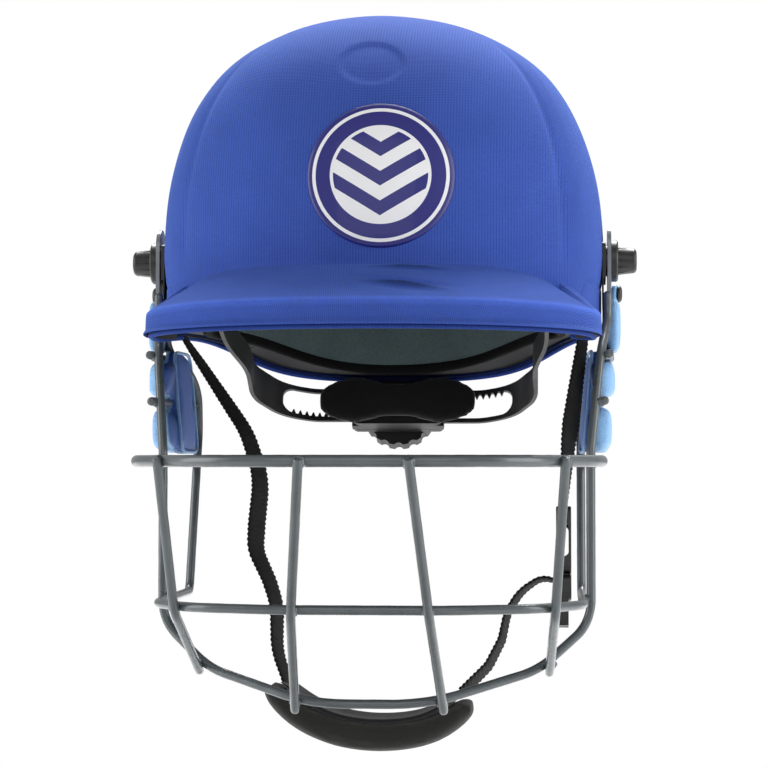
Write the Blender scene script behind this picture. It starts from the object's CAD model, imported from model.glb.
import math

import bmesh
import bpy
import numpy as np
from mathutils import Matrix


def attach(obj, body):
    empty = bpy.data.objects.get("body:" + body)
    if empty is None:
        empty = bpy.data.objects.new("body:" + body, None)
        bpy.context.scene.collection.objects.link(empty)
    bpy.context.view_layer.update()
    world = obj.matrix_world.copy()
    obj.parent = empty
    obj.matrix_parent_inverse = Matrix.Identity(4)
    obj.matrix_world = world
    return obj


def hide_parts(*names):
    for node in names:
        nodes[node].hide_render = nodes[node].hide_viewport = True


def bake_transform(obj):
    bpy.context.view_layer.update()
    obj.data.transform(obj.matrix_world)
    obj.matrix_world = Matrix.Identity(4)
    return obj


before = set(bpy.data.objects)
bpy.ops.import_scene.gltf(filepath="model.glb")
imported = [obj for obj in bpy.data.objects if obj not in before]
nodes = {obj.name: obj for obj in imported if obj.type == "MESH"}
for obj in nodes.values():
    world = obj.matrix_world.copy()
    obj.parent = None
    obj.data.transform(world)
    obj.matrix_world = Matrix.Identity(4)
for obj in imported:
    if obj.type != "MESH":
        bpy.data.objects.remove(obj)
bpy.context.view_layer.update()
mm = 0.001
weldGap = 0.002

# Points are worked out in millimetres, +Z up, front towards -Y, as the frame has them.


# share * share * (3 - 2 share), from 0 at low to 1 at high
def smoothStep(value, low, high):
    share = np.clip((value - low) / (high - low), 0.0, 1.0)
    return share * share * (3.0 - 2.0 * share)


# exp(-((value - centre) / width)^2)
def hump(value, centre, width):
    return np.exp(-(((value - centre) / width) ** 2))


# sign(w) |w|^power, for rounded sections
def signedPower(value, power):
    return np.sign(value) * np.abs(value) ** power


# the same parts on the other side of X
def mirrored(parts):
    return [(grid * np.array([-1.0, 1.0, 1.0]), lay) for grid, lay in parts]


# angles once round, first and last being one place
def fullTurn(count):
    return np.linspace(0, 2 * math.pi, count)


# Bernstein form of a cubic Bezier, count points
def bezier(points, count):
    t = np.linspace(0.0, 1.0, count)[:, None]
    p = [np.asarray(point, float) for point in points]
    return (1 - t) ** 3 * p[0] + 3 * (1 - t) ** 2 * t * p[1] + 3 * (1 - t) * t ** 2 * p[2] + t ** 3 * p[3]


# mean of neighbours along axis 0, weights 1 2 1, ends kept
def evenOut(grid, passes):
    grid = grid.copy()
    for _ in range(passes):
        grid[1:-1] = (grid[:-2] + 2 * grid[1:-1] + grid[2:]) / 4
    return grid


# cross product of the grid's two edge directions, unit length
def gridNormals(grid):
    along = np.gradient(grid, axis=0)
    across = np.gradient(grid, axis=1)
    across[:, 0] = across[:, -1] = (grid[:, 1] - grid[:, 0] + grid[:, -1] - grid[:, -2]) / 2
    normal = np.cross(across, along)
    return normal / np.maximum(np.linalg.norm(normal, axis=2, keepdims=True), 1e-9)


# several open grids as one welded mesh; each part is a point grid with its lay in mm, or with None
def surfacePiece(name, parts, outward=True):
    points, quads, lays, start = [], [], [], 0
    for grid, lay in parts:
        rows, cols = grid.shape[:2]
        points.append(grid.reshape(-1, 3))
        number = start + np.arange(rows * cols).reshape(rows, cols)
        corners = [number[:-1, :-1], number[:-1, 1:], number[1:, 1:], number[1:, :-1]]
        quads.append(np.stack(corners, -1).reshape(-1, 4))
        start += rows * cols
        if lay is not None:
            lays.append(lay.reshape(-1, 2))
    points, quads = np.concatenate(points), np.concatenate(quads)
    mesh = bpy.data.meshes.new(name)
    mesh.vertices.add(len(points))
    mesh.vertices.foreach_set("co", (points * mm).astype(np.float32).ravel())
    mesh.loops.add(quads.size)
    mesh.loops.foreach_set("vertex_index", quads.astype(np.int32).ravel())
    mesh.polygons.add(len(quads))
    mesh.polygons.foreach_set("loop_start", np.arange(0, quads.size, 4, dtype=np.int32))
    mesh.update(calc_edges=True)
    if lays:
        layer = mesh.uv_layers.new(name="lay")
        layer.data.foreach_set("uv", np.concatenate(lays)[quads.ravel()].astype(np.float32).ravel())
    work = bmesh.new()
    work.from_mesh(mesh)
    bmesh.ops.remove_doubles(work, verts=work.verts, dist=weldGap * mm)
    bmesh.ops.dissolve_degenerate(work, edges=work.edges, dist=weldGap * mm / 10)
    if outward:
        bmesh.ops.recalc_face_normals(work, faces=work.faces)
    for face in work.faces:
        face.smooth = True
    work.to_mesh(mesh)
    work.free()
    piece = bpy.data.objects.new(name, mesh)
    bpy.context.collection.objects.link(piece)
    return piece


# straight runs joined by arcs: each corner's arc has tangent length radius * tan(turn / 2)
def roundedPath(points, radii, step=1.0):
    points = [np.asarray(point, float) for point in points]
    out = [points[0][None]]
    for before, corner, after, radius in zip(points, points[1:], points[2:], radii):
        come = (corner - before) / np.linalg.norm(corner - before)
        leave = (after - corner) / np.linalg.norm(after - corner)
        turn = math.acos(np.clip(come @ leave, -1, 1))
        if turn < 1e-3:
            out.append(corner[None])
            continue
        tangent = radius * math.tan(turn / 2)
        side = (leave - come * math.cos(turn)) / math.sin(turn)
        angle = np.linspace(0, turn, max(3, int(radius * turn / step)))[:, None]
        out.append(corner - come * tangent + radius * (come * np.sin(angle) + side * (1 - np.cos(angle))))
    out.append(points[-1][None])
    return evenPath(np.concatenate(out), step)


# length of a line up to each of its points
def pathLengths(path):
    return np.concatenate([[0], np.cumsum(np.linalg.norm(np.diff(path, axis=0), axis=1))])


# the same line with points at equal lengths
def evenPath(path, step):
    lengths = pathLengths(path)
    count = max(4, int(lengths[-1] / step) + 1)
    where = np.linspace(0, lengths[-1], count)
    return np.stack([np.interp(where, lengths, path[:, k]) for k in range(3)], -1)


# two directions across a path: side = tangent x reference, up = side x tangent
def pathSides(path, reference):
    tangent = np.gradient(path, axis=0)
    tangent /= np.linalg.norm(tangent, axis=1, keepdims=True)
    side = np.cross(tangent, np.broadcast_to(np.asarray(reference, float), tangent.shape))
    side /= np.linalg.norm(side, axis=1, keepdims=True)
    return tangent, side, np.cross(side, tangent)


# centre + radius * (side cos angle + up sin angle), rounded shut at both ends
def tubeGrid(path, radius, reference, sides, lumps=0.0, flatEnds=False):
    tangent, side, up = pathSides(path, reference)
    lengths = pathLengths(path)
    angle = fullTurn(sides + 1)
    wobble = 1 + lumps * (np.sin(lengths * 0.41 + 1.3) + np.sin(lengths * 0.93) * 0.6)[:, None] * (
        1 + 0.5 * np.sin(angle * 2 + lengths[:, None] * 0.17))
    ring = side[:, None] * np.cos(angle)[None, :, None] + up[:, None] * np.sin(angle)[None, :, None]
    grid = path[:, None] + ring * (radius * wobble)[..., None]
    shrink = [0.0, 0.86, 0.93] if flatEnds else [0.0, 0.45, 0.78, 0.95]
    reach = [0.0, 0.0, 0.12] if flatEnds else [0.0, 0.1, 0.36, 0.7]
    start, end = [[path[at] + ring[at] * radius * s + way * tangent[at] * radius * (0.9 - r)
                   for s, r in zip(shrink, reach)] for at, way in ((0, -1), (-1, 1))]
    grid = np.concatenate([np.array(start), grid, np.array(end[::-1])])
    along = np.concatenate([np.zeros(len(start)), lengths, np.full(len(end), lengths[-1])])
    v = np.broadcast_to(along[:, None], grid.shape[:2])
    u = np.broadcast_to(angle[None] * radius, grid.shape[:2])
    return grid, np.stack([u, v], -1)


# centre + size * unit sphere with waves on it
def blobGrid(centre, size, seed):
    polar = np.linspace(0, math.pi, 14)[:, None]
    turn = fullTurn(21)[None]
    ring = np.sin(polar)
    unit = np.stack([ring * np.cos(turn), ring * np.sin(turn), np.cos(polar) + 0 * turn], -1)
    wave = 1 + 0.10 * ring * np.sin(3 * turn + seed) + 0.07 * np.sin(5 * polar + seed * 1.7)
    return np.asarray(centre, float) + unit * wave[..., None] * np.asarray(size, float)


# a closed section carried along a line: wide along out, tall along Z
def ringAlong(centre, out, wide, tall):
    grid = centre[:, None] + out[:, None] * wide[None, :, None]
    grid = grid + np.array([0, 0, 1.0]) * tall[None, :, None]
    grid[-1] = grid[0]
    return grid


# the first and last rows of a grid closed on their middles
def closeEnds(grid):
    first, last = [row.mean(axis=1, keepdims=True) + 0 * row for row in (grid[:1], grid[-1:])]
    return np.concatenate([first, grid, last])


def startMaterial(name, color, roughness, metallic=0.0, sheen=0.0, coat=0.0, gloss=0.5):
    material = bpy.data.materials.new(name)
    material.use_nodes = True
    tree = material.node_tree
    shader = tree.nodes["Principled BSDF"]
    values = {"Base Color": (*color, 1.0), "Roughness": roughness, "Metallic": metallic,
              "Sheen Weight": sheen, "Coat Weight": coat, "Specular IOR Level": gloss}
    for key, value in values.items():
        shader.inputs[key].default_value = value
    return material, tree, shader


def newNode(tree, kind, **values):
    node = tree.nodes.new(kind)
    for key, value in values.items():
        setattr(node, key, value)
    return node


def mathNode(tree, operation, first, second=None, third=None):
    node = newNode(tree, "ShaderNodeMath", operation=operation)
    for socket, value in zip(node.inputs, (first, second, third)):
        if value is None:
            continue
        if isinstance(value, (int, float)):
            socket.default_value = value
        else:
            tree.links.new(value, socket)
    return node.outputs[0]


def timesNode(tree, first, second):
    return mathNode(tree, "MULTIPLY", first, second)


# sine of a length, one wave every pitch mm
def waveNode(tree, length, pitch):
    return mathNode(tree, "SINE", timesNode(tree, length, 2 * math.pi / pitch))


def noiseNode(tree, vector, scale, detail=3.0, roughness=0.55):
    node = newNode(tree, "ShaderNodeTexNoise")
    tree.links.new(vector, node.inputs["Vector"])
    node.inputs["Scale"].default_value = scale
    node.inputs["Detail"].default_value = detail
    node.inputs["Roughness"].default_value = roughness
    return node.outputs["Fac"]


# value carried from one range to another, clamped
def rangeNode(tree, value, fromLow, fromHigh, toLow, toHigh):
    node = newNode(tree, "ShaderNodeMapRange")
    tree.links.new(value, node.inputs["Value"])
    limits = {"From Min": fromLow, "From Max": fromHigh, "To Min": toLow, "To Max": toHigh}
    for name, number in limits.items():
        node.inputs[name].default_value = number
    return node.outputs["Result"]


# a colour made darker or lighter by a factor, put on the shader
def shadeColor(tree, shader, color, factor):
    node = newNode(tree, "ShaderNodeMix", data_type="RGBA", blend_type="MULTIPLY")
    node.inputs["Factor"].default_value = 1.0
    node.inputs["A"].default_value = (*color, 1.0)
    grey = newNode(tree, "ShaderNodeCombineColor")
    for socket in grey.inputs:
        tree.links.new(factor, socket)
    tree.links.new(grey.outputs[0], node.inputs["B"])
    tree.links.new(node.outputs["Result"], shader.inputs["Base Color"])
    return node


def bumpNode(tree, shader, height, strength, distance):
    node = newNode(tree, "ShaderNodeBump")
    node.inputs["Strength"].default_value = strength
    node.inputs["Distance"].default_value = distance * mm
    tree.links.new(height, node.inputs["Height"])
    tree.links.new(node.outputs["Normal"], shader.inputs["Normal"])


def objectCoords(tree):
    return newNode(tree, "ShaderNodeTexCoord").outputs["Object"]


def splitVector(tree, vector):
    split = newNode(tree, "ShaderNodeSeparateXYZ")
    tree.links.new(vector, split.inputs["Vector"])
    return [split.outputs[axis] for axis in "XYZ"]


# the lay of a piece in mm, whole and as u and v
def layCoords(tree):
    lay = newNode(tree, "ShaderNodeUVMap", uv_map="lay").outputs["UV"]
    u, v, _ = splitVector(tree, lay)
    return lay, u, v


# one colour carried to another by a factor
def mixColors(tree, factor, first, second):
    node = newNode(tree, "ShaderNodeMix", data_type="RGBA")
    tree.links.new(factor, node.inputs["Factor"])
    node.inputs["A"].default_value = (*first, 1.0)
    node.inputs["B"].default_value = (*second, 1.0)
    return node.outputs["Result"]


knit = {"row": 0.9, "mottle": 0.08, "stretchFrom": 0.2, "stretchTo": 3.2, "peakY": (-66.0, -50.0)}


# cloth with thin grooves every pitch mm of u, broken up by noise; uv is in mm; stretch lightens it round
# v = 0 on the peak, and each fold darkens it round v = start + rise u, within reach of its middle u; the
# bump follows the grooves, or the last fold where there are folds
def ribbedKnit(name, color, pitch, depth, groove=0.22, stretch=0.0, folds=()):
    material, tree, shader = startMaterial(name, color, 0.85, sheen=0.10, gloss=0.05)
    shader.inputs["Sheen Roughness"].default_value = 0.45
    shader.inputs["Sheen Tint"].default_value = (0.35, 0.6, 1.0, 1.0)
    uv, u, v = layCoords(tree)
    wave = rangeNode(tree, waveNode(tree, u, pitch), -1.0, -0.25, 0.0, 1.0)
    stitch = rangeNode(tree, waveNode(tree, v, knit["row"]), -1, 1, 0.75, 1.0)
    mottle = knit["mottle"]
    broken = rangeNode(tree, noiseNode(tree, uv, 0.55, 4.0, 0.7), 0.35, 0.62, 0.35, 1.0)
    line = timesNode(tree, mathNode(tree, "SUBTRACT", 1.0, wave), broken)
    grain = rangeNode(tree, noiseNode(tree, uv, 1.7, 3.0, 0.7), 0.25, 0.75, 1 - mottle, 1 + mottle)
    wide = rangeNode(tree, noiseNode(tree, uv, 0.045, 2.0), 0.3, 0.7, 0.95, 1.05)
    dark = mathNode(tree, "SUBTRACT", 1.0, timesNode(tree, line, groove))
    shade = timesNode(tree, timesNode(tree, dark, grain), wide)
    if stretch:
        low, high = knit["peakY"]
        _, y, _ = splitVector(tree, objectCoords(tree))
        ahead = rangeNode(tree, y, low * mm, high * mm, 1.0, 0.0)
        off = mathNode(tree, "ABSOLUTE", v)
        ridge = rangeNode(tree, off, knit["stretchFrom"], knit["stretchTo"], stretch, 0.0)
        shade = timesNode(tree, shade, mathNode(tree, "MULTIPLY_ADD", ridge, ahead, 1.0))
    relief = line
    for start, rise, middle, reach, width, darkness in folds:
        off = mathNode(tree, "SUBTRACT", v, mathNode(tree, "MULTIPLY_ADD", u, rise, start))
        aside = mathNode(tree, "ABSOLUTE", mathNode(tree, "SUBTRACT", u, middle))
        share = rangeNode(tree, aside, reach * 0.3, reach, 1, 0)
        relief = rangeNode(tree, mathNode(tree, "ABSOLUTE", off), width * 0.25, width, darkness, 0.0)
        shade = timesNode(tree, shade, mathNode(tree, "SUBTRACT", 1.0, timesNode(tree, relief, share)))
    shadeColor(tree, shader, color, shade)
    height = timesNode(tree, mathNode(tree, "SUBTRACT", 1.0, relief), stitch)
    bumpNode(tree, shader, height, 0.55, depth)
    return material


# fibres: fine noise in colour and bump
def feltCloth(name, color, scale=900.0, mottle=0.22, sheen=0.5):
    material, tree, shader = startMaterial(name, color, 0.95, sheen=sheen, gloss=0.1)
    spot = objectCoords(tree)
    fine = noiseNode(tree, spot, scale, 5.0, 0.75)
    wide = noiseNode(tree, spot, scale / 14, 2.0)
    grain = rangeNode(tree, fine, 0.3, 0.7, 1 - mottle, 1 + mottle)
    shadeColor(tree, shader, color, timesNode(tree, grain, rangeNode(tree, wide, 0.3, 0.7, 0.93, 1.07)))
    bumpNode(tree, shader, fine, 0.5, 0.4)
    return material


padFace = {"reach": 106.9, "lean": 0.085, "soft": 0.8}


# plain weave: two crossed waves of u and v in mm; it has the inner colour where |X| - lean Z is under reach
def wovenCloth(name, color, pitch, roughness=0.7, sheen=0.3, depth=0.25, gloss=0.2, inner=None):
    material, tree, shader = startMaterial(name, color, roughness, sheen=sheen, gloss=gloss)
    uv, u, v = layCoords(tree)
    over = rangeNode(tree, timesNode(tree, waveNode(tree, u, pitch), waveNode(tree, v, pitch)), -1, 1, 0, 1)
    grain = rangeNode(tree, noiseNode(tree, uv, 0.8, 3.0, 0.6), 0.3, 0.7, 0.86, 1.12)
    shade = shadeColor(tree, shader, color, timesNode(tree, rangeNode(tree, over, 0, 1, 0.82, 1.08), grain))
    if inner:
        x, _, z = splitVector(tree, objectCoords(tree))
        far = mathNode(tree, "MULTIPLY_ADD", z, -padFace["lean"], mathNode(tree, "ABSOLUTE", x))
        start, end = padFace["reach"] * mm, (padFace["reach"] + padFace["soft"]) * mm
        blend = mixColors(tree, rangeNode(tree, far, start, end, 0, 1), inner, color)
        tree.links.new(blend, shade.inputs["A"])
    bumpNode(tree, shader, over, 0.5, depth)
    return material


# powder coat over metal: faint orange peel and a few thin bright rubs
def powderCoat(name, color):
    material, tree, shader = startMaterial(name, color, 0.30, metallic=0.15, coat=0.4)
    shader.inputs["Coat Roughness"].default_value = 0.16
    spot = objectCoords(tree)
    peel = noiseNode(tree, spot, 420.0, 2.0)
    wide = noiseNode(tree, spot, 45.0, 3.0)
    shadeColor(tree, shader, color, rangeNode(tree, wide, 0.3, 0.7, 0.86, 1.16))
    tree.links.new(rangeNode(tree, wide, 0.3, 0.7, 0.24, 0.38), shader.inputs["Roughness"])
    bumpNode(tree, shader, peel, 0.28, 0.25)
    return material


# moulded plastic: fine spark texture and slightly worn tone
def mouldedPlastic(name, color, roughness, scale=600.0, coat=0.0):
    material, tree, shader = startMaterial(name, color, roughness, coat=coat)
    spot = objectCoords(tree)
    spark = noiseNode(tree, spot, scale, 4.0, 0.65)
    wide = noiseNode(tree, spot, 60.0, 2.0)
    shadeColor(tree, shader, color, rangeNode(tree, wide, 0.3, 0.7, 0.85, 1.2))
    worn = rangeNode(tree, wide, 0.3, 0.7, roughness - 0.06, roughness + 0.08)
    tree.links.new(worn, shader.inputs["Roughness"])
    bumpNode(tree, shader, spark, 0.25, 0.12)
    return material


def platedMetal(name, color, roughness):
    material, tree, shader = startMaterial(name, color, roughness, metallic=1.0)
    spot = objectCoords(tree)
    brush = noiseNode(tree, spot, 350.0, 3.0)
    rubbed = rangeNode(tree, brush, 0.3, 0.7, roughness - 0.06, roughness + 0.1)
    tree.links.new(rubbed, shader.inputs["Roughness"])
    bumpNode(tree, shader, brush, 0.12, 0.1)
    return material


# the piece's mesh with its modifiers in it
def bakedMesh(piece):
    return bpy.data.meshes.new_from_object(piece.evaluated_get(bpy.context.evaluated_depsgraph_get()))


pressing = {"quality": 4, "mass": 0.12, "bending": 0.25, "frames": 16, "slack": -0.04}


# a padded piece as pressed cloth: an even mesh of it is blown up for some frames, no point moving further
# than reach, and the surface is then made finer; the new lay is (Y + X, Z) or (X, Z) in mm
def puffCloth(piece, voxel, pressure, reach, sidelong=True):
    scene = bpy.context.scene
    even = piece.modifiers.new("even", "REMESH")
    even.mode = "VOXEL"
    even.voxel_size = voxel * mm
    piece.data = bakedMesh(piece)
    piece.modifiers.clear()
    rest = np.empty(len(piece.data.vertices) * 3, np.float32)
    piece.data.vertices.foreach_get("co", rest)
    cloth = piece.modifiers.new("cloth", "CLOTH")
    cloth.settings.quality = pressing["quality"]
    cloth.settings.mass = pressing["mass"]
    cloth.settings.bending_stiffness = pressing["bending"]
    cloth.settings.use_pressure = True
    cloth.settings.uniform_pressure_force = pressure
    cloth.settings.shrink_min = pressing["slack"]
    cloth.settings.effector_weights.gravity = 0.0
    cloth.point_cache.frame_start, cloth.point_cache.frame_end = 1, pressing["frames"]
    for number in range(1, pressing["frames"] + 1):
        scene.frame_set(number)
    pressed = bakedMesh(piece)
    moved = np.empty_like(rest)
    pressed.vertices.foreach_get("co", moved)
    piece.modifiers.clear()
    shift = (moved - rest).reshape(-1, 3)
    far = np.linalg.norm(shift, axis=1, keepdims=True)
    shift *= np.minimum(1.0, reach * mm / np.maximum(far, 1e-9))
    piece.data.vertices.foreach_set("co", (rest.reshape(-1, 3) + shift).ravel())
    finer = piece.modifiers.new("finer", "SUBSURF")
    finer.levels = finer.render_levels = 1
    piece.data = bakedMesh(piece)
    piece.modifiers.clear()
    scene.frame_set(1)
    mesh = piece.data
    points = np.empty(len(mesh.vertices) * 3, np.float32)
    mesh.vertices.foreach_get("co", points)
    points = points.reshape(-1, 3) / mm
    corner = np.empty(len(mesh.loops), np.int32)
    mesh.loops.foreach_get("vertex_index", corner)
    lay = np.stack([points[:, 0] + points[:, 1] * sidelong, points[:, 2]], -1)
    layer = mesh.uv_layers.get("lay") or mesh.uv_layers.new(name="lay")
    layer.data.foreach_set("uv", lay[corner].astype(np.float32).ravel())
    mesh.polygons.foreach_set("use_smooth", np.ones(len(mesh.polygons), bool))
    mesh.update()
    print("pressed", piece.name, len(mesh.polygons), "faces")


finishes = {
    "royalTrim": ribbedKnit("royalTrim", (0.024, 0.052, 0.25), 1.6, 0.3),
    "navyThread": ribbedKnit("navyThread", (0.006, 0.012, 0.07), 1.4, 0.3),
    "slateFelt": feltCloth("slateFelt", (0.075, 0.105, 0.11), sheen=0.2),
    "blackTape": feltCloth("blackTape", (0.0035, 0.0035, 0.004), 1400.0, 0.15, 0.02),
    "greyCoat": powderCoat("greyCoat", (0.082, 0.096, 0.102)),
    "paleCoat": powderCoat("paleCoat", (0.20, 0.215, 0.215)),
    "blackKnob": mouldedPlastic("blackKnob", (0.008, 0.008, 0.007), 0.38, coat=0.08),
    "blackBand": mouldedPlastic("blackBand", (0.0055, 0.0055, 0.0055), 0.5),
    "blackShell": mouldedPlastic("blackShell", (0.006, 0.006, 0.007), 0.5),
    "greyFoam": mouldedPlastic("greyFoam", (0.03, 0.03, 0.032), 0.9, 300.0),
    "skyPad": wovenCloth("skyPad", (0.28, 0.53, 0.88), 0.55, 0.5, 0.06, 0.12, 0.35, (0.030, 0.10, 0.38)),
    "skyBinding": wovenCloth("skyBinding", (0.20, 0.36, 0.62), 0.8, 0.7, 0.3, 0.2),
    "nickel": platedMetal("nickel", (0.55, 0.55, 0.54), 0.28),
    "blackStud": mouldedPlastic("blackStud", (0.012, 0.012, 0.012), 0.35),
    "blackWebbing": wovenCloth("blackWebbing", (0.005, 0.005, 0.0042), 1.1, 0.68, 0.04, 0.3, 0.12),
    "charcoalCloth": wovenCloth("charcoalCloth", (0.022, 0.023, 0.020), 0.7, 0.85, 0.15, 0.2),
    "blackLining": wovenCloth("blackLining", (0.006, 0.0065, 0.008), 0.6, 0.8, 0.25, 0.15),
    "napeCloth": feltCloth("napeCloth", (0.006, 0.006, 0.0065), 1100.0, 0.2, 0.2),
}


def dress(piece, finish, body=None, stands=()):
    piece.data.materials.clear()
    piece.data.materials.append(finishes[finish])
    if body:
        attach(piece, body)
    if stands:
        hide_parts(*stands)
    return piece


nodeFinishes = {
    "blackShell": ["shell", "peak"],
    "greyFoam": ["crown_liner", "front_liner", "rear_liner", "left_liner", "right_liner"],
    "blackKnob": ["left_mount_block", "right_mount_block", "left_slot_guide", "right_slot_guide", "left_knob",
                  "right_knob", "left_clamp_washer", "right_clamp_washer", "dial_cap", "buckle_socket",
                  "buckle_plug"],
    "blackBand": ["cradle_frame", "cradle_cover", "dial", "pinion", "left_arm", "right_arm"],
    "nickel": ["tee_nuts", "band_rivets", "strap_anchors", "cradle_screws"],
    "paleCoat": ["left_tab", "right_tab"],
}
for finish, names in nodeFinishes.items():
    for name in names:
        nodes[name].data.materials.clear()
        nodes[name].data.materials.append(finishes[finish])
print("finishes on", sum(map(len, nodeFinishes.values())), "frame pieces")

dome = {"halfWidth": 104.8, "frontReach": 135.0, "rearReach": 108.0, "crown": 117.0, "centreY": 10.0,
        "fullness": 0.664}
rim = {"frontZ": -33.0, "earZ": -34.0, "rearZ": -53.0, "earFrontY": -44.0, "earRearY": 42.0, "wallZ": -13.0}


# height of the rim line at a given Y: level at the ear, falling in an S to the rear
def rimHeight(y):
    t = np.linspace(0, 1, 60)
    earMid = (rim["earFrontY"] + rim["earRearY"]) / 2
    rearY = dome["centreY"] + dome["rearReach"] + 10
    ahead, fall = rearY - rim["earRearY"], rim["rearZ"] - rim["earZ"]
    ys = np.concatenate([[-400, rim["earFrontY"], earMid],
                         rim["earRearY"] + ahead * (1.5 * t * (1 - t) + t ** 3)])
    zs = np.concatenate([[rim["frontZ"], rim["frontZ"], rim["earZ"]],
                         rim["earZ"] + fall * (3 * t ** 2 - 2 * t ** 3)])
    return np.interp(y, ys, zs)


# Bezier quarter profile of the dome: shares of radius and height, crown to widest line
def domeProfile(count):
    full = dome["fullness"]
    curve = bezier([(0, 1), (full, 1), (1, full), (1, 0)], count)
    return curve[:, 0], curve[:, 1]


# half ellipses in plan: x = width * share * sin(angle), y = centre - reach * share * cos(angle)
def domePlan(share, angle, inset):
    reach = np.where(np.cos(angle) > 0, dome["frontReach"], dome["rearReach"]) - inset
    x = (dome["halfWidth"] - inset) * share * np.sin(angle)
    return x, dome["centreY"] - reach * share * np.cos(angle)


peak = {"frontY": -167.0, "cornerX": 103.5, "cornerY": -66.0, "rootX": 88.0, "rootY": -47.0, "ridgeZ": -28.5,
        "creaseFrontY": -121.0, "creaseX": 70.0, "creaseZ": -9.0, "edgeZ": -39.4, "cornerFall": 0.8,
        "rimPulls": (0.6, 0.584, 0.957), "creasePulls": (0.55, 0.55, 1.0), "endFrom": 61.5, "endTo": 68.0}


# how far an outline of the peak lies from the dome's centre, the dome's own plan being 1: a Bezier line
# round the front and a second one back to the root
def outlineReach(frontY, cornerX, pulls, degrees):
    cornerY, rootY = peak["cornerY"], peak["rootY"]
    rootX = cornerX * peak["rootX"] / peak["cornerX"]
    midY = (cornerY + rootY) / 2
    front = bezier([(0, frontY), (pulls[0] * cornerX, frontY),
                    (pulls[2] * cornerX, cornerY + pulls[1] * (frontY - cornerY)), (cornerX, cornerY)], 120)
    side = bezier([(cornerX, cornerY), (cornerX, cornerY + (midY - cornerY) * 2 / 3),
                   (cornerX + (rootX - cornerX) / 3, midY + (rootY - midY) / 3), (rootX, rootY)], 40)
    line = np.concatenate([front, side[1:]])
    across, ahead = line[:, 0] / dome["halfWidth"], (dome["centreY"] - line[:, 1]) / dome["frontReach"]
    return np.interp(degrees, np.degrees(np.arctan2(across, ahead)), np.hypot(across, ahead), right=0.9)


# profiles round the dome: crown to widest line, straight wall, peak slope and peak face, the last two drawn
# out by the share that the peak's outline has at that angle
def coverProfiles(degrees, counts):
    angle = np.radians(degrees)
    turn = np.abs(degrees)
    ridge = np.maximum(outlineReach(peak["frontY"], peak["cornerX"], peak["rimPulls"], turn), 1.0)
    crease = np.minimum(outlineReach(peak["creaseFrontY"], peak["creaseX"], peak["creasePulls"], turn), 0.99)
    fall = (peak["ridgeZ"] - peak["creaseZ"]) * (1 - crease) / np.maximum(ridge - crease, 0.05)
    creaseZ = np.maximum(peak["creaseZ"] + fall, peak["ridgeZ"] + 4)
    onPeak = 1 - smoothStep(turn, peak["endFrom"], peak["endTo"])
    low = rimHeight(domePlan(1.0, angle, 0.0)[1])
    shareEnd = 1 + (ridge - 1) * onPeak
    wallZ = rim["wallZ"] + (creaseZ - rim["wallZ"]) * onPeak
    ridgeZ = peak["ridgeZ"] - peak["cornerFall"] * smoothStep(turn, 20, 62)
    slopeZ = (low + 8) * (1 - onPeak) + ridgeZ * onPeak
    faceZ = low * (1 - onPeak) + peak["edgeZ"] * onPeak
    radiusShare, heightShare = domeProfile(counts[0])
    one = np.ones_like(degrees)
    steps = [np.linspace(0, 1, count + 1)[1:, None] for count in counts[1:]]
    share = np.concatenate([radiusShare[:, None] * one, one + 0 * steps[0], 1 + (shareEnd - 1) * steps[1],
                            shareEnd + 0.004 * steps[2] * onPeak])
    z = np.concatenate([dome["crown"] * heightShare[:, None] * one, wallZ * steps[0],
                        wallZ + (slopeZ - wallZ) * steps[1], slopeZ + (faceZ - slopeZ) * steps[2]])
    x, y = domePlan(share, angle[None], 0.0)
    return np.stack([x, y, z], -1)


# each fold: distance beyond the crease at x = 18, fall per mm of x
folds = {"upper": (5.5, 0.12), "lower": (27.0, 0.30)}
cover = {"columns": 540, "rows": (112, 14, 40, 16), "facetAngle": 56.0, "facetRidge": 0.7, "facetDrop": 1.3,
         "discPlace": (2.0, -97.0, 82.0), "discRadius": 14.5, "discHeight": 0.9, "creaseSoftness": 5,
         "seamGroove": 2.2, "ribSpread": 0.009}


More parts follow.
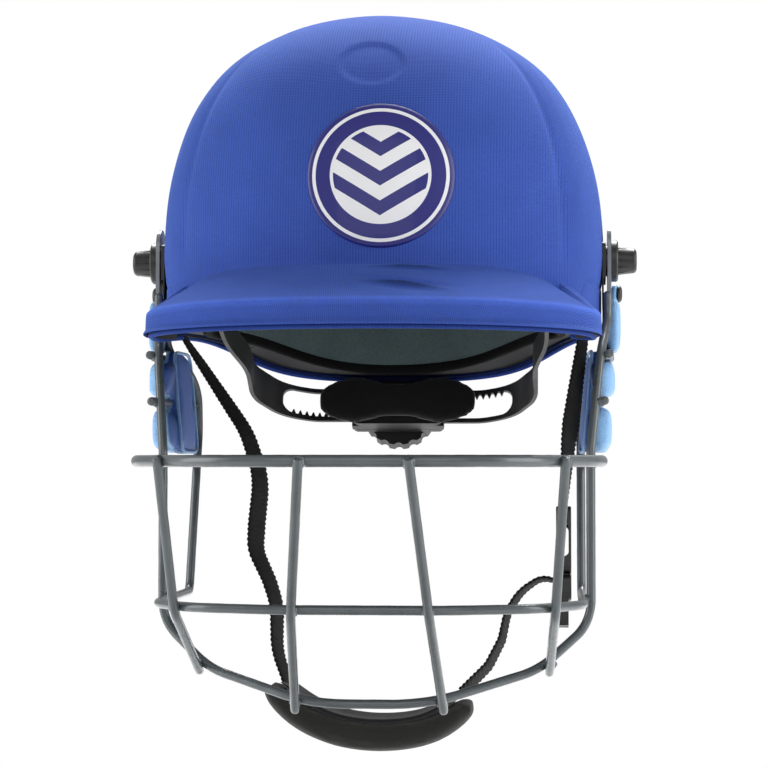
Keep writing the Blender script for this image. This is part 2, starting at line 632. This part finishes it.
# dome and peak in one skin; moved along its normals for facets, boss and wrinkles
def buildCover():
    degrees = np.linspace(-180, 180, cover["columns"] + 1)
    counts = cover["rows"]
    grid = evenOut(coverProfiles(degrees, counts), cover["creaseSoftness"])
    lengths = np.concatenate([np.zeros((1, len(degrees))),
                              np.cumsum(np.linalg.norm(np.diff(grid, axis=0), axis=2), axis=0)])
    x, y, z = grid[..., 0], grid[..., 1], grid[..., 2]
    turn = np.abs(degrees)[None] + 0 * z
    creaseRow = counts[0] + counts[1]
    beyond = lengths - lengths[creaseRow - 1]
    front = 1 - smoothStep(turn, 85, 100)
    high = smoothStep(z, -16, 4) * smoothStep(dome["crown"] - z, 6, 34)
    facet = cover["facetAngle"]
    move = cover["facetRidge"] * hump(turn, facet, 1.8) * high * front
    move -= cover["facetDrop"] * smoothStep(turn, facet - 1, facet + 9) * high * front
    off = np.linalg.norm(grid - np.array(cover["discPlace"]), axis=2)
    near = np.linalg.norm(grid - grid[np.unravel_index(off.argmin(), off.shape)], axis=2)
    radius = cover["discRadius"]
    move += cover["discHeight"] * (1 - smoothStep(near, radius - 2.2, radius + 1.6))
    # two folds under the crease, right of the middle: a lip over each groove, falling to the right
    upper, lower = [start + fall * (x - 18) for start, fall in folds.values()]
    waves = [(upper, -1.5, 1.1, 21, 17), (lower, -1.7, 1.9, 19, 13), (lower - 4.6, 2.6, 2.6, 19, 15),
             (lower + 4.6, 0.8, 2.6, 19, 15)]
    for line, height, width, middle, reach in waves:
        move += height * hump(beyond, line, width) * hump(x, middle, reach) * front
    move += 0.4 * hump(beyond, 0.4, 1.2) * front
    move += 0.14 * np.sin(x * 0.11 + z * 0.07) * np.sin(z * 0.09 - x * 0.05 + 1.0) * smoothStep(z, -30, 0)
    normals = gridNormals(grid)
    edge = grid[-1] + normals[-1] * move[-1][:, None]
    last = len(grid)
    seam = smoothStep(np.arange(last)[:, None], last - 5, last - 2)
    move -= cover["seamGroove"] * seam * (1 - hump(turn, 60, 9))
    grid = grid + normals * move[..., None]
    grid[:, -1] = grid[:, 0]
    edge[-1] = edge[0]
    past = np.maximum(beyond, 0)
    # u: x over the front, y along the sides and x again behind, away from the crown
    behind, late = smoothStep(turn, 80, 130), smoothStep(turn, 110, 150)
    wide = smoothStep(np.hypot(x, y - dome["centreY"]), 0, 40)
    side = 0.9 * smoothStep(turn, 50, 75) * (np.maximum(y + 60, 0) * (1 - late) + 130 * late * wide)
    rib = x * (1 + cover["ribSpread"] * past) * (1 - 2 * behind)
    rib += np.sign(x) * (2 * behind * dome["halfWidth"] * wide + side)
    # the folds as lines v = start + rise u of the lay, through their points at x = 4 and x = 32
    lines = []
    slopeLength = lengths[creaseRow + counts[2] - 1] - lengths[creaseRow - 1]
    ahead = np.abs(degrees) < 85
    for start, fall in folds.values():
        ends = []
        for place in (4.0, 32.0):
            column = np.where(ahead, np.abs(x[creaseRow] - place), 1e6).argmin()
            far = start + fall * (place - 18)
            ends.append((place * (1 + cover["ribSpread"] * far), far - slopeLength[column]))
        rise = (ends[1][1] - ends[0][1]) / (ends[1][0] - ends[0][0])
        lines.append((ends[0][1] - rise * ends[0][0], rise))
    return grid, np.stack([rib, lengths - lengths[creaseRow + counts[2] - 1]], -1), edge, lines


coverGrid, coverLay, coverEdge, foldLines = buildCover()
# for each fold's dark line: middle, reach, width and darkness
foldShades = ((23.0, 22.0, 2.4, 0.45), (24.0, 27.0, 3.4, 0.65))
creases = [(*line, *shade) for line, shade in zip(foldLines, foldShades)]
royal = (0.047, 0.094, 0.40)
finishes["royalKnit"] = ribbedKnit("royalKnit", royal, 1.25, 0.45, 0.42, stretch=0.5, folds=creases)
clothSkin = surfacePiece("clothSkin", [(coverGrid, coverLay)])
dress(clothSkin, "royalKnit", "helmet", ["cloth_cover"])

edgeRoll = {"wide": 1.4, "tall": 1.2, "drop": 0.5, "recess": 0.3, "ends": (200.0, 220.0)}
edgeSeam = {"wide": 0.9, "tall": 0.9, "drop": -1.3, "recess": 0.8, "ends": (36.0, 54.0)}


# unit directions away from the dome's middle, level, for points round its edge
def outFrom(x, y):
    out = np.stack([x, y - dome["centreY"], 0 * x], -1)
    return out / np.linalg.norm(out, axis=1, keepdims=True)


# ring section carried round the lower edge of cloth: wide cos outward, tall sin upward; it sinks in past the
# ends and at the peak's corners
def buildEdgeRing(ring):
    degrees = np.linspace(-180, 180, cover["columns"] + 1)
    off = np.abs(degrees)
    out = outFrom(*domePlan(1.0, np.radians(degrees), 0.0))
    turn = fullTurn(17)
    sink = ring["wide"] * (2.0 * smoothStep(off, *ring["ends"]) + 2.0 * hump(off, 60, 8))
    inward = ring["wide"] + ring["recess"] + sink[:, None]
    centre = coverEdge - np.array([0, 0, ring["drop"]]) - out * inward
    along = pathLengths(centre)
    lay = np.stack([along[:, None] + 0 * turn, 2 * turn + 0 * along[:, None]], -1)
    return ringAlong(centre, out, ring["wide"] * np.cos(turn), ring["tall"] * np.sin(turn)), lay


rollPiece = surfacePiece("clothEdgeRoll", [buildEdgeRing(edgeRoll)])
dress(rollPiece, "royalTrim", "helmet", ["peak_beading", "rim_piping"])
dress(surfacePiece("clothEdgeSeam", [buildEdgeRing(edgeSeam)]), "navyThread", "helmet")
print("cloth over dome and peak")

lining = {"inset": 17.7, "thick": 3.4, "lift": 1.0, "quilt": 0.5, "tapeOut": 0.55, "tapeHalf": 2.6}


# skins of the felt joined along the rim: two dome profiles one thickness apart, the inner one quilted by sines
# of height and angle, with a groove every 60 degrees
def buildLining():
    degrees = np.linspace(-180, 180, 361)
    angle = np.radians(degrees)
    radiusShare, heightShare = domeProfile(90)
    skins = []
    for inset, direction in ((lining["inset"], 1), (lining["inset"] + lining["thick"], -1)):
        low = rimHeight(domePlan(1.0, angle, inset)[1]) + lining["lift"]
        share = np.concatenate([radiusShare, np.ones(24)])[:, None] + 0 * angle
        z = np.concatenate([(dome["crown"] - inset) * heightShare[:, None] + 0 * angle,
                            low * np.linspace(0, 1, 25)[1:, None]])
        x, y = domePlan(share, angle[None], inset)
        skin = np.stack([x, y, z], -1)
        if direction < 0:
            seam = hump(np.degrees(angle)[None] % 60, 30, 2.0) * smoothStep(skin[..., 2], 20, 50)
            quilt = lining["quilt"] * (0.3 * np.sin(z / 9) * np.sin(angle * 7) - seam)
            skin -= gridNormals(skin) * quilt[..., None]
        skins.append(skin[::direction])
    grid = np.concatenate(skins)
    grid[:, -1] = grid[:, 0]
    return grid


feltPiece = surfacePiece("feltLining", [(buildLining(), None)])
dress(feltPiece, "slateFelt", "helmet", ["comfort_lining"])


# rounded section carried round the felt's lower edge: signed powers of cos outward and of sin upward
def buildTape():
    degrees = np.linspace(-180, 180, 361)
    x, y = domePlan(1.0, np.radians(degrees), lining["inset"] + lining["thick"] / 2)
    centre = np.stack([x, y, rimHeight(y) + lining["lift"]], -1)
    turn = fullTurn(25)
    wide = (lining["thick"] / 2 + lining["tapeOut"]) * signedPower(np.cos(turn), 0.6)
    return ringAlong(centre, outFrom(x, y), wide, lining["tapeHalf"] * signedPower(np.sin(turn), 0.6))


tapePiece = surfacePiece("liningTape", [(buildTape(), None)])
dress(tapePiece, "blackTape", "helmet", ["lining_binding"])
print("lining")

badge = {"place": (7.6, 28.0), "radius": 31.8, "height": 1.1, "outerRing": (28.2, 29.7),
         "innerRing": (20.5, 21.9), "chevronPitch": 13.0, "chevronFall": 0.62, "chevronUp": 1.3}


# y of the dome's front at x and z: r(z) from the profile, then the half ellipse
def domeFront(x, z):
    radiusShare, heightShare = domeProfile(200)
    share = np.interp(np.maximum(z, 0) / dome["crown"], heightShare[::-1], radiusShare[::-1])
    ahead = np.sqrt(np.maximum(share ** 2 - (x / dome["halfWidth"]) ** 2, 0))
    return dome["centreY"] - dome["frontReach"] * ahead


# disc lying on the dome: radius share by angle, edge rolled back
def buildBadge():
    radius = badge["radius"] * np.linspace(0, 1, 40)
    radius = np.concatenate([radius, [badge["radius"] + 0.25, badge["radius"] + 0.2]])
    lift = np.full(42, badge["height"])
    lift[38:41] -= (0.08, 0.3, 0.7)
    lift[41] = -0.6
    turn = fullTurn(121)
    u = radius[:, None] * np.cos(turn)
    v = radius[:, None] * np.sin(turn)
    x, z = badge["place"][0] + u, badge["place"][1] + v
    grid = np.stack([x, domeFront(x, z) - lift[:, None], z], -1)
    return grid, np.stack([u, v], -1)


# rings by distance from the middle and three chevrons in the field
def badgeFinish(navy, white):
    material, tree, shader = startMaterial("badgePrint", navy, 0.45, coat=0.2)
    uv, u, v = layCoords(tree)
    far = newNode(tree, "ShaderNodeVectorMath", operation="LENGTH")
    tree.links.new(uv, far.inputs[0])
    reach = far.outputs["Value"]

    def band(low, high):
        above = mathNode(tree, "GREATER_THAN", reach, low)
        return timesNode(tree, above, mathNode(tree, "LESS_THAN", reach, high))

    rise = mathNode(tree, "SUBTRACT", v, badge["chevronUp"])
    rise = mathNode(tree, "MULTIPLY_ADD", mathNode(tree, "ABSOLUTE", u), -badge["chevronFall"], rise)
    stripe = mathNode(tree, "GREATER_THAN", waveNode(tree, rise, badge["chevronPitch"]), 0.0)
    inner, outer = band(*badge["innerRing"]), band(*badge["outerRing"])
    field = timesNode(tree, mathNode(tree, "LESS_THAN", reach, badge["innerRing"][0]), stripe)
    pale = mathNode(tree, "MAXIMUM", mathNode(tree, "MAXIMUM", outer, inner), field)
    tree.links.new(mixColors(tree, pale, navy, white), shader.inputs["Base Color"])
    grain = noiseNode(tree, uv, 2.2, 3.0)
    bumpNode(tree, shader, grain, 0.15, 0.1)
    return material


finishes["badgePrint"] = badgeFinish((0.006, 0.006, 0.16), (0.82, 0.82, 0.84))
dress(surfacePiece("roundBadge", [buildBadge()]), "badgePrint", "helmet", ["front_badge"])
print("badge")


def flipped(points):
    return [(-x, y, z) for x, y, z in points]


# right-hand points followed by the same points on the left
def mirrorPoints(points):
    return points + flipped(points[::-1])


wires = {
    "sideWires": {"points": mirrorPoints([(107.4, -11.75, -17), (107.4, -11.75, -28.1), (103.4, -36, -47),
                                          (98.7, -50, -91.6), (98.7, -50, -169.6), (75, -64, -190),
                                          (26, -91, -203.2)]),
                  "bends": [12, 22, 22, 20, 45, 60], "radius": 2.1, "reference": (0.0, 1.0, 0.35),
                  "stands": ["side_wires"]},
    "rearWires": {"points": mirrorPoints([(107.4, 11.75, -17), (107.4, 11.75, -42), (95.2, 34, -56),
                                          (94.85, 34, -82), (94.85, 5, -159.1), (94.85, -90, -159.1),
                                          (76, -120, -159.1), (36, -135, -159.1)]),
                  "bends": [12, 22, 22, 8, 30, 40, 60], "radius": 2.1, "reference": (1.0, 0.0, 1.0),
                  "stands": ["rear_wires"]},
    "topBar": {"points": mirrorPoints([(99.2, 27, -95.8), (103.05, -40, -95.8), (103.05, -105, -95.8),
                                       (60, -165.8, -95.8)]),
               "bends": [200, 45, 60], "radius": 2.6, "reference": (0.0, 0.0, 1.0), "stands": ["top_bar"]},
}
bars = {
    "innerFrontBars": {"points": [(22.9, -169.9, -96.6), (29.36, -138.26, -161.5), (32.95, -87.7, -205.6)],
                       "stands": ["inner_front_bars"]},
    "outerFrontBars": {"points": [(87.1, -135.0, -96.1), (82.6, -116.6, -161.4), (79.75, -63.2, -190.7)],
                       "stands": ["outer_front_bars"]},
    "upperSideRungs": {"points": [(107.6, -34.5, -46.0), (109.05, 18.7, -46.0)],
                       "stands": ["upper_side_rungs"]},
    "lowerSideRungs": {"points": [(105.2, -43.3, -68.0), (98.85, 34.7, -68.0)],
                       "stands": ["lower_side_rungs"]},
}
barForm = {"radius": 2.1, "bend": 14, "lumps": 0.008, "step": 1.3}

for name, wire in wires.items():
    half = wire["bends"]
    path = roundedPath(wire["points"], half + half[::-1], barForm["step"])
    grid = tubeGrid(path, wire["radius"], wire["reference"], 20, barForm["lumps"])[0]
    dress(surfacePiece(name, [(grid, None)]), "greyCoat", "grille", wire["stands"])
for name, bar in bars.items():
    bent = len(bar["points"]) > 2
    reference = (1.0, 0.0, 0.0) if bent else (0.0, 0.0, 1.0)
    parts = []
    for points in (bar["points"], flipped(bar["points"])):
        path = roundedPath(points, [barForm["bend"]], barForm["step"])
        grid = tubeGrid(path, barForm["radius"], reference, 20, barForm["lumps"], True)[0]
        parts.append((grid, None))
    dress(surfacePiece(name, parts), "greyCoat", "grille", bar["stands"])

# lumps of weld where wires cross: place, then half sizes
weldSpots = [
    ((22.5, -167.9, -96.4), (3.0, 2.6, 3.1)), ((87.0, -133.2, -96.4), (3.0, 2.4, 3.1)),
    ((29.1, -136.9, -159.6), (2.6, 2.2, 2.6)), ((82.7, -114.3, -159.6), (2.6, 2.2, 2.6)),
    ((32.5, -89.6, -203.0), (2.6, 2.0, 2.4)), ((80.3, -63.6, -187.5), (2.6, 2.2, 2.5)),
    ((96.8, -50.0, -159.3), (2.4, 2.6, 2.8)), ((100.8, -48.2, -96.0), (2.2, 2.8, 2.7)),
    ((97.0, 28.8, -96.0), (2.2, 2.8, 2.7)), ((106.0, -32.4, -46.4), (2.4, 2.8, 2.4)),
    ((107.2, 16.6, -46.2), (2.4, 2.8, 2.4)), ((103.4, -42.4, -68.4), (2.4, 2.8, 2.4)),
    ((97.2, 33.6, -68.2), (2.4, 2.8, 2.4)), ((107.3, -10.4, -19.5), (1.7, 1.8, 3.6)),
    ((107.3, 10.4, -19.5), (1.7, 1.8, 3.6)), ((107.3, -10.4, -24.4), (1.6, 1.7, 2.4)),
    ((107.3, 10.4, -24.4), (1.6, 1.7, 2.4)),
]
welds = [(blobGrid((side * place[0], place[1], place[2]), size, index * 1.3 + side), None)
         for index, (place, size) in enumerate(weldSpots) for side in (1, -1)]
dress(surfacePiece("weldBeads", welds), "greyCoat", "grille")
print("grille wires", len(wires) + len(bars), "pieces,", len(welds), "welds")


# box with rounded corners: superellipse rings, each side swollen by swell (1 - a^2) (1 - b^2), where a and
# b are the shares of the way to the other sides
def pillowGrid(low, high, square, edge, swell):
    low, high = np.asarray(low, float), np.asarray(high, float)
    polar = np.linspace(0, math.pi, 34)[:, None]
    turn = fullTurn(65)[None]
    ring = np.abs(np.sin(polar)) ** edge
    unit = np.stack([signedPower(np.cos(polar), edge) + 0 * turn, ring * signedPower(np.cos(turn), square),
                     ring * signedPower(np.sin(turn), square)], -1)
    half = (high - low) / 2
    grown = unit * half
    for k in range(3):
        first, second = unit[..., (k + 1) % 3], unit[..., (k + 2) % 3]
        grown[..., k] *= 1 + swell[k] * (1 - first ** 2) * (1 - second ** 2)
    grid = (low + high) / 2 + grown
    return grid, grid[..., 1:].copy()


# low and high corners of the pads in mm
sidePads = {"panel": ((96.0, -12.0, -91.5), (99.8, 27.5, -43.4)), "lean": 0.085, "turn": 0.045,
            "bumps": [((99.6, -28.0, -65.2), (110.0, 23.0, -48.4)),
                      ((99.0, -27.0, -91.2), (108.2, 22.0, -71.4))],
            "upper": ((108.2, -9.4, -43.6), (113.2, 20.5, -18.6)),
            "ear": ((109.9, 11.0, -24.0), (112.7, 20.5, -10.5)), "fill": 0.85, "binding": 0.8}


# x + lean * height above the panel's foot - turn * distance behind its front edge
def panelLean(grid):
    low = sidePads["panel"][0]
    shift = sidePads["lean"] * (grid[..., 2] - low[2]) - sidePads["turn"] * (grid[..., 1] - low[1])
    return grid + shift[..., None] * np.array([1.0, 0.0, 0.0])


for side, name in ((1, "right"), (-1, "left")):
    panel, panelLay = pillowGrid(*sidePads["panel"], square=0.3, edge=0.55, swell=(0.1, 0, 0))
    parts = [(panelLean(panel), panelLay)]
    for low, high in sidePads["bumps"]:
        parts.append(pillowGrid(low, high, square=0.42, edge=0.42, swell=(0.06, 0.02, 0.02)))
    pad = surfacePiece(name + "SidePad", parts if side > 0 else mirrored(parts))
    puffCloth(pad, voxel=2.6, pressure=5.0, reach=0.9)
    dress(pad, "skyPad", "grille", [name + "_side_pad"])
    (low, high), turn = sidePads["panel"], fullTurn(97)
    middle, half = (np.array(low) + high) / 2, (np.array(high) - low) / 2
    edges = []
    loopY = middle[1] + half[1] * signedPower(np.cos(turn), 0.3)
    loopZ = middle[2] + half[2] * signedPower(np.sin(turn), 0.3)
    for offset in (-half[0], half[0]):
        loop = np.stack([0 * turn + middle[0] + offset, loopY, loopZ], -1)
        edges.append(tubeGrid(evenPath(panelLean(loop), 1.2), sidePads["binding"], (1.0, 0.0, 0.0), 12))
    binding = surfacePiece(name + "PadBinding", edges if side > 0 else mirrored(edges))
    dress(binding, "skyBinding", "grille")
parts = [pillowGrid(*sidePads["upper"], square=0.42, edge=0.5, swell=(0.1, 0, 0)),
         pillowGrid(*sidePads["ear"], square=0.5, edge=0.5, swell=(0.1, 0, 0))]
upperPads = surfacePiece("upperPads", parts + mirrored(parts))
puffCloth(upperPads, voxel=1.6, pressure=5.0, reach=0.5)
dress(upperPads, "skyPad", "grille", ["upper_side_pads"])

# press studs: a profile of radius and height turned about X
stud = {"place": (112.3, 15.75, -14.8),
        "profile": [(0, 0), (4.2, 0), (4.3, 0.9), (3.9, 1.9), (3.0, 2.5), (1.6, 2.7), (1.2, 2.35), (0, 2.3)]}
studX, studY, studZ = stud["place"]
profile = np.array(stud["profile"])
turn = fullTurn(33)
studGrid = np.stack([studX + profile[:, 1:2] + 0 * turn, studY + profile[:, :1] * np.cos(turn),
                     studZ + profile[:, :1] * np.sin(turn)], -1)
parts = [(studGrid, None)]
studPiece = surfacePiece("pressStuds", parts + mirrored(parts))
dress(studPiece, "blackStud", "grille", ["pad_snaps"])
print("side pads")

# the adjuster's plane: X, up along the slope, and backward out of it
adjuster = {"rivetZ": -27.0, "dialY": 108.0, "dialZ": -67.0}
slope = math.atan2(adjuster["rivetZ"] - adjuster["dialZ"], adjuster["dialY"])
backward = np.array([0, math.cos(slope), -math.sin(slope)])
upward = np.array([0, math.sin(slope), math.cos(slope)])
dialCentre = np.array([0, adjuster["dialY"], adjuster["dialZ"]])
napePad = {"halfWidth": 41.0, "halfHeight": 14.0, "waist": 9.5, "near": -6.5, "thick": 5.4, "fill": 0.7}


# dog-bone outline swelling towards its middle: half height between waist and lobes
def buildNapePad():
    polar = np.linspace(0, math.pi, 30)[:, None]
    turn = fullTurn(121)[None]
    ring = np.abs(np.sin(polar)) ** 0.42
    x = napePad["halfWidth"] * ring * signedPower(np.cos(turn), 0.8)
    tall = napePad["waist"] + (napePad["halfHeight"] - napePad["waist"]) * smoothStep(np.abs(x), 4, 24)
    up = tall * ring * signedPower(np.sin(turn), 0.75)
    half = napePad["thick"] / 2
    out = napePad["near"] - half + half * signedPower(np.cos(polar), 0.6) + 0 * turn
    out = out - 0.6 * hump(x, 0, 6) * (np.cos(polar) < 0)
    grid = dialCentre + x[..., None] * np.array([1.0, 0, 0]) + up[..., None] * upward
    return grid + out[..., None] * backward, np.stack([x, up], -1)


napePiece = surfacePiece("napePad", [buildNapePad()])
puffCloth(napePiece, voxel=1.8, pressure=4.0, reach=0.5, sidelong=False)
dress(napePiece, "napeCloth", "cradle", ["nape_pad"])
print("nape pad")

strap = {"anchorX": 95.2, "anchorY": -20.0, "anchorZ": -26.0, "lean": math.radians(7.5), "drop": 176.8,
         "width": 15.0, "thick": 1.7, "ribPitch": 2.3, "ribHeight": 0.2}


# from the strap's plane to the frame: x, drop below the anchors, distance out of the plane
def strapPoint(x, drop, out=0.0):
    x, drop, out = np.broadcast_arrays(x, drop, out)
    lean = strap["lean"]
    return np.stack([x, strap["anchorY"] - math.sin(lean) * drop - math.cos(lean) * out,
                     strap["anchorZ"] - math.cos(lean) * drop + math.sin(lean) * out], -1)


# flat band of rounded section along a path in the strap's plane: wide and flat turned by the twist's angle,
# plus a sine of the length for the ribs
def bandGrid(shares, bends, twist, flip=1.0):
    route = [(flip * x * strap["anchorX"], -y * strap["drop"], 0.0) for x, y in shares]
    path = roundedPath(route, [bend * strap["width"] for bend in bends], 0.45)
    lengths = pathLengths(path)
    _, side, up = pathSides(path, (0.0, 0.0, 1.0))
    angle = np.radians(np.interp(lengths / lengths[-1], *twist))[:, None]
    wide = up * np.cos(angle) + side * np.sin(angle)
    flat = side * np.cos(angle) - up * np.sin(angle)
    turn = fullTurn(29)
    across = strap["width"] / 2 * signedPower(np.cos(turn), 0.55)
    through = strap["thick"] / 2 * signedPower(np.sin(turn), 0.7)
    rib = np.sin((lengths[:, None] + 0.35 * across[None]) * 2 * math.pi / strap["ribPitch"])
    edgeRib = 1 + 0.02 * rib * (np.abs(np.cos(turn)) > 0.8)
    faceRib = strap["ribHeight"] * rib * np.sign(np.sin(turn)) * (np.abs(np.sin(turn)) > 0.05)
    grid = path[:, None] + wide[:, None] * (across * edgeRib)[..., None]
    grid = closeEnds(grid + flat[:, None] * (through + faceRib)[..., None])
    v = np.concatenate([[0], lengths, [lengths[-1]]])[:, None] + 0 * across
    grid = strapPoint(grid[..., 0], -grid[..., 1], grid[..., 2])
    return grid, np.stack([across + 0 * v, v], -1)


# routes as shares of the anchors' half distance and of the drop; twists as shares of the length and degrees
leftRoute = ((1.0, -0.02), (1.0, 0.05), (0.659, 0.32), (0.580, 0.442), (0.600, 0.565), (0.605, 0.635),
             (0.534, 0.715), (0.493, 0.78), (0.489, 0.9), (0.418, 1.006))
leftBends = (0.7, 3.0, 3.0, 3.0, 1.2, 1.2, 2.5, 2.5)
leftTwist = ((0, 0.06, 0.15, 0.3, 0.6, 1), (0, 2, 12, 20, 24, 10))
rightRoute = ((1.0, -0.03), (1.01, 0.05), (0.965, 0.215), (0.932, 0.345), (0.907, 0.52))
rightTwist = ((0, 0.1, 0.6, 1), (0, 14, 30, 8))
lowerRoute = ((0.8666, 0.715), (0.80, 0.705), (0.696, 0.744), (0.633, 0.80), (0.607, 0.869), (0.543, 0.937),
              (0.416, 1.006))
bands = {
    "left": bandGrid(leftRoute, leftBends, leftTwist, -1.0),
    "right": bandGrid(rightRoute, (1.5, 6.0, 6.0), rightTwist),
    "lower": bandGrid(lowerRoute, (0.6, 1.5, 1.2, 0.8, 0.8), ((0, 0.3, 1), (0, 8, 14))),
}
for name, part in bands.items():
    band = surfacePiece(name + "Webbing", [part])
    if name == "lower":
        dress(band, "blackWebbing", None, ["lower_strap"])
        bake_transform(band)
    else:
        dress(band, "blackWebbing", "chin_strap", [name + "_strap"])
print("webbing")

# centre line of the chin sling, x and z, with Y on the strap's plane
sling = {"line": [(-50.1, -200.0), (-42.8, -207.1), (-33.1, -214.4), (-17.4, -220.5), (-2.7, -222.5),
                  (12.0, -222.1), (25.2, -219.5), (35.3, -214.0), (44.4, -207.1)],
         "thick": 12.0, "depth": 35.0, "saddle": 4.0, "fill": 0.75}


# section carried along the sling: |y/depth|^n + |z/thick|^n = 1, front edge turned up
def buildSling(thick, depth, lift, inset):
    line = np.array(sling["line"], float)
    path = np.stack([line[:, 0], 0 * line[:, 0], line[:, 1]], -1)
    path = evenOut(evenPath(path, 1.0), 60)
    path = evenPath(path, 1.0)[inset:len(path) - inset]
    _, side, _ = pathSides(path, (0.0, 1.0, 0.0))
    share = np.linspace(-1, 1, len(path))
    turn = fullTurn(61)
    taper = (1 - np.abs(share) ** 7) ** 0.4 * (1 - 0.12 * share ** 2)
    across = depth / 2 * signedPower(np.cos(turn), 0.6)
    through = thick / 2 * signedPower(np.sin(turn), 0.75)
    saddle = sling["saddle"] * (across / (depth / 2)) ** 2
    upDirection = np.where(side[:, 2:] > 0, side, -side)
    rise = (through + saddle * 0.5)[None] * taper[:, None] + lift
    grid = path[:, None] + upDirection[:, None] * rise[..., None]
    y = strap["anchorY"] + math.tan(strap["lean"]) * (grid[..., 2] - strap["anchorZ"])
    grid[..., 1] = y + across[None] * (0.7 + 0.3 * taper[:, None])
    grid = closeEnds(grid)
    u = np.cumsum(np.abs(np.gradient(across)) + np.abs(np.gradient(through)))
    v = np.linspace(0, len(path), grid.shape[0])[:, None]
    lay = np.stack([np.broadcast_to(u, grid.shape[:2]), np.broadcast_to(v, grid.shape[:2])], -1)
    return grid, lay


slingPart = buildSling(thick=sling["thick"], depth=sling["depth"], lift=0.0, inset=0)
chinSling = surfacePiece("chinSling", [slingPart])
puffCloth(chinSling, voxel=2.4, pressure=4.0, reach=0.6, sidelong=False)
dress(chinSling, "charcoalCloth", "chin_strap", ["chin_cup"])
liningPart = buildSling(thick=3.4, depth=sling["depth"] * 0.84, lift=6.4, inset=3)
slingLining = surfacePiece("chinSlingLining", [liningPart])
dress(slingLining, "blackLining", "chin_strap", ["cup_lining"])
print("chin sling")

# camera: 1150 mm from the origin's depth, level with the top bar, turned 4.2 degrees
view = {"distance": 1150.0, "yaw": math.radians(4.2), "height": -95.8, "focal": 2388.0, "frame": 767.0,
        "level": 461.0, "sensor": 36.0}
cameraData = bpy.data.cameras.new("camera")
cameraData.sensor_width = view["sensor"]
cameraData.lens = view["focal"] / view["frame"] * view["sensor"]
pitch = math.atan((view["level"] - view["frame"] / 2) / view["focal"])
camera = bpy.data.objects.new("camera", cameraData)
aside, away = view["distance"] * math.sin(view["yaw"]), view["distance"] * math.cos(view["yaw"])
camera.location = (aside * mm, -away * mm, view["height"] * mm)
camera.rotation_euler = (math.pi / 2 + pitch, 0, view["yaw"])
bpy.context.collection.objects.link(camera)
bpy.context.scene.camera = camera


# soft box lamps aimed at a point, all in metres, with watts
lamps = {
    "topLamp": {"place": (0.1, 0.92, 1.33), "target": (0, 0.02, 0.05), "size": (1.2, 0.8), "power": 58.0},
    "leftLamp": {"place": (-1.5, -0.3, 0.3), "target": (0, 0, -0.05), "size": (1.0, 1.4), "power": 14.0},
    "rightLamp": {"place": (1.5, -0.3, 0.3), "target": (0, 0, -0.05), "size": (1.0, 1.4), "power": 15.0},
    "frontLamp": {"place": (0.1, -1.7, 0.75), "target": (0, 0, 0.0), "size": (1.6, 1.2), "power": 7.0},
}
for name, lamp in lamps.items():
    data = bpy.data.lights.new(name, "AREA")
    data.shape = "RECTANGLE"
    data.size, data.size_y = lamp["size"]
    data.energy = lamp["power"]
    box = bpy.data.objects.new(name, data)
    box.location = lamp["place"]
    aim = np.array(lamp["target"], float) - np.array(lamp["place"], float)
    box.rotation_euler = (math.acos(aim[2] / np.linalg.norm(aim)) - math.pi, 0, math.atan2(aim[0], -aim[1]))
    bpy.context.collection.objects.link(box)

# the sky is full white to the camera, and low as light and in reflections
sky = {"low": 0.28, "mirrored": 0.25}
world = bpy.data.worlds.new("studio")
bpy.context.scene.world = world
world.use_nodes = True
tree = world.node_tree
background = tree.nodes["Background"]
rays = newNode(tree, "ShaderNodeLightPath")
seen = mathNode(tree, "MAXIMUM", rays.outputs["Is Camera Ray"], rays.outputs["Is Transmission Ray"])
glossy = timesNode(tree, rays.outputs["Is Glossy Ray"], sky["mirrored"])
background.inputs["Color"].default_value = (1.0, 1.0, 1.0, 1.0)
strength = rangeNode(tree, mathNode(tree, "ADD", seen, glossy), 0, 1, sky["low"], 1.0)
tree.links.new(strength, background.inputs["Strength"])

floorPlan = {"height": -0.30, "half": 4.0}
floorGrid = np.array([[(-1, -1, 0), (1, -1, 0)], [(-1, 1, 0), (1, 1, 0)]], float) * floorPlan["half"] / mm
floorGrid[..., 2] = floorPlan["height"] / mm
floor = surfacePiece("studioFloor", [(floorGrid, None)], outward=False)
floorMaterial, tree, shader = startMaterial("paleFloor", (0.82, 0.82, 0.82), 0.9)
rays = newNode(tree, "ShaderNodeLightPath")
glow = newNode(tree, "ShaderNodeEmission")
glow.inputs["Strength"].default_value = 1.0
blend = newNode(tree, "ShaderNodeMixShader")
tree.links.new(rays.outputs["Is Camera Ray"], blend.inputs[0])
tree.links.new(shader.outputs[0], blend.inputs[1])
tree.links.new(glow.outputs[0], blend.inputs[2])
tree.links.new(blend.outputs[0], tree.nodes["Material Output"].inputs["Surface"])
floor.data.materials.append(floorMaterial)
bpy.context.scene.view_settings.view_transform = "Standard"
print("camera, lamps and floor")
